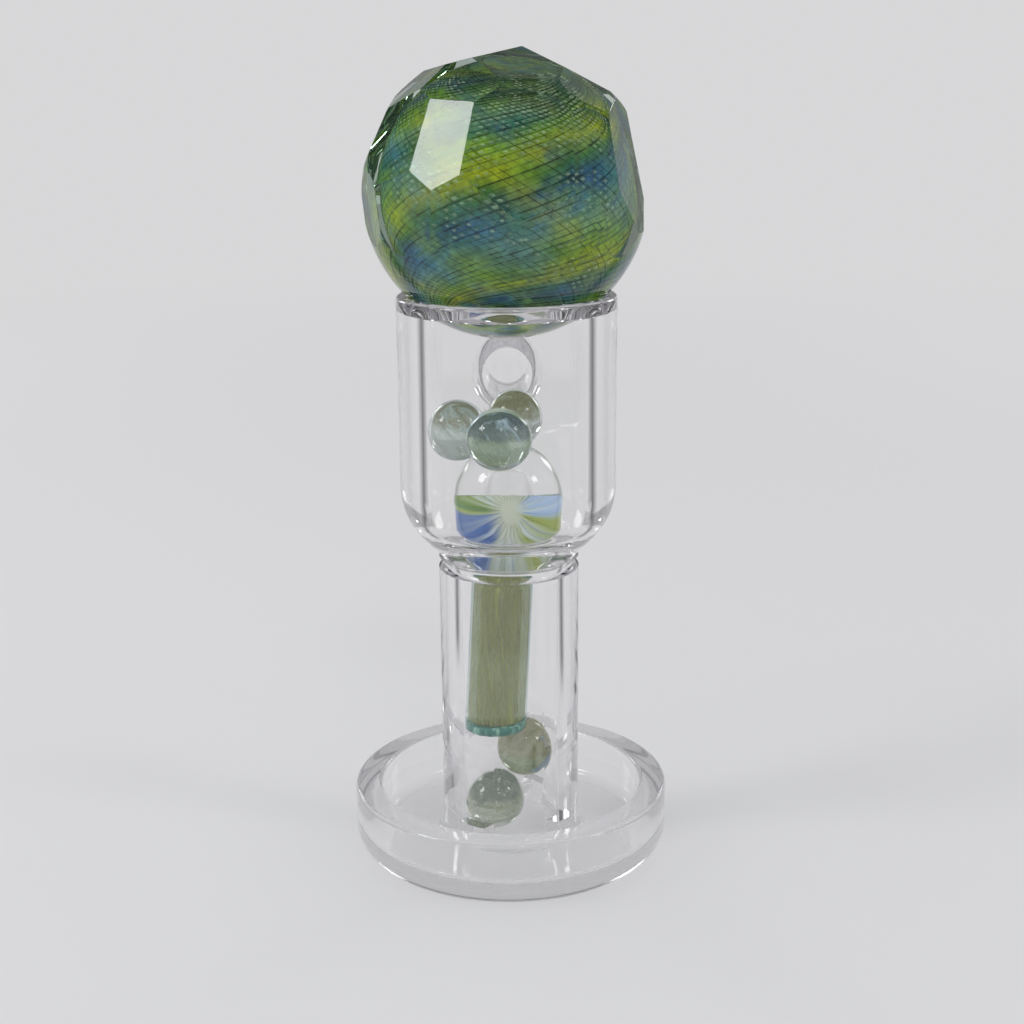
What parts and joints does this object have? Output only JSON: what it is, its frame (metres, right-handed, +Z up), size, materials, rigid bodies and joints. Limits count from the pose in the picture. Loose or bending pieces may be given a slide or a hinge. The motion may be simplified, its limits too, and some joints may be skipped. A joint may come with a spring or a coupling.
{
  "type": "quartz slurper nail",
  "caption": "Clear quartz slurper nail with a dish, slotted tube, cup and ground-joint neck, and loose glass marbles, pearls and a pillar that cap and fill it.",
  "frame": {"origin": "centre of the underside of the dish, on which the nail stands", "axes": "+Z up along the axis of the cup and the tube; +Y towards the side where the neck leaves the cup; +X to the right, seen from the front"},
  "size_m": [0.0376, 0.0518, 0.0938],
  "materials": {
    "quartz": "clear, fire polished",
    "ground_quartz": "finely ground, matt",
    "cap_glass": "clear, with polished cut flats",
    "cap_net": "green, yellow and blue bands under a net of fine canes with bubbles",
    "valve_glass": "clear, faintly smoky, polished",
    "valve_blossom": "white stem with green, yellow and blue petals",
    "front_pearl": "translucent blue-grey and green, polished",
    "left_pearl": "translucent olive with pale streaks, polished",
    "rear_pearl": "translucent olive, polished",
    "pillar_glass": "clear, polished",
    "pillar_streaks": "olive and amber with upright streaks",
    "high_pearl": "translucent olive, polished",
    "low_pearl": "translucent pale olive with a blue patch, polished"
  },
  "bodies": {
    "nail": {"dish_floor": "quartz", "dish_wall": "quartz", "foot_fillet": "quartz", "slurper_tube": "quartz", "throat_weld": "quartz", "cup_bowl": "quartz", "cup_barrel": "quartz", "neck_fillet": "quartz", "neck_arm": "quartz", "neck_elbow": "quartz", "neck_drop": "quartz", "ground_joint": "ground_quartz"},
    "cap_marble": {"cap_marble_casing": "cap_glass", "cap_marble_core": "cap_net"},
    "valve_marble": {"valve_marble_casing": "valve_glass", "valve_marble_blossom": "valve_blossom"},
    "pearl_front": {"upper_pearl_front": "front_pearl"},
    "pearl_left": {"upper_pearl_left": "left_pearl"},
    "pearl_rear": {"upper_pearl_rear": "rear_pearl"},
    "pearl_high": {"lower_pearl_high": "high_pearl"},
    "pearl_low": {"lower_pearl_low": "low_pearl"},
    "pillar": {"pillar_casing": "pillar_glass", "pillar_core": "pillar_streaks"}
  },
  "joints": [
    {"name": "cap_lift", "type": "slide", "parent": "nail", "child": "cap_marble", "axis": [0, 0, 1], "range_m": [0, 0.04]},
    {"name": "valve_turn", "type": "hinge", "parent": "nail", "child": "valve_marble", "pos_m": [0, 0, 0.04371], "axis": [0, 0, 1], "continuous": true},
    {"name": "front_pearl_orbit", "type": "hinge", "parent": "nail", "child": "pearl_front", "pos_m": [0, 0, 0.05172], "axis": [0, 0, 1], "continuous": true},
    {"name": "left_pearl_orbit", "type": "hinge", "parent": "nail", "child": "pearl_left", "pos_m": [0, 0, 0.05172], "axis": [0, 0, 1], "continuous": true},
    {"name": "rear_pearl_orbit", "type": "hinge", "parent": "nail", "child": "pearl_rear", "pos_m": [0, 0, 0.05172], "axis": [0, 0, 1], "continuous": true},
    {"name": "high_pearl_orbit", "type": "hinge", "parent": "nail", "child": "pearl_high", "pos_m": [0, 0, 0.01147], "axis": [0, 0, 1], "continuous": true},
    {"name": "low_pearl_orbit", "type": "hinge", "parent": "nail", "child": "pearl_low", "pos_m": [0, 0, 0.00581], "axis": [0, 0, 1], "continuous": true},
    {"name": "pillar_orbit", "type": "hinge", "parent": "nail", "child": "pillar", "pos_m": [0, 0, 0.0245], "axis": [0, 0, 1], "continuous": true}
  ],
  "couplings": [
    {"joint": "left_pearl_orbit", "follows": "front_pearl_orbit", "ratio": 1},
    {"joint": "rear_pearl_orbit", "follows": "front_pearl_orbit", "ratio": 1},
    {"joint": "low_pearl_orbit", "follows": "high_pearl_orbit", "ratio": 1},
    {"joint": "pillar_orbit", "follows": "high_pearl_orbit", "ratio": 1}
  ]
}
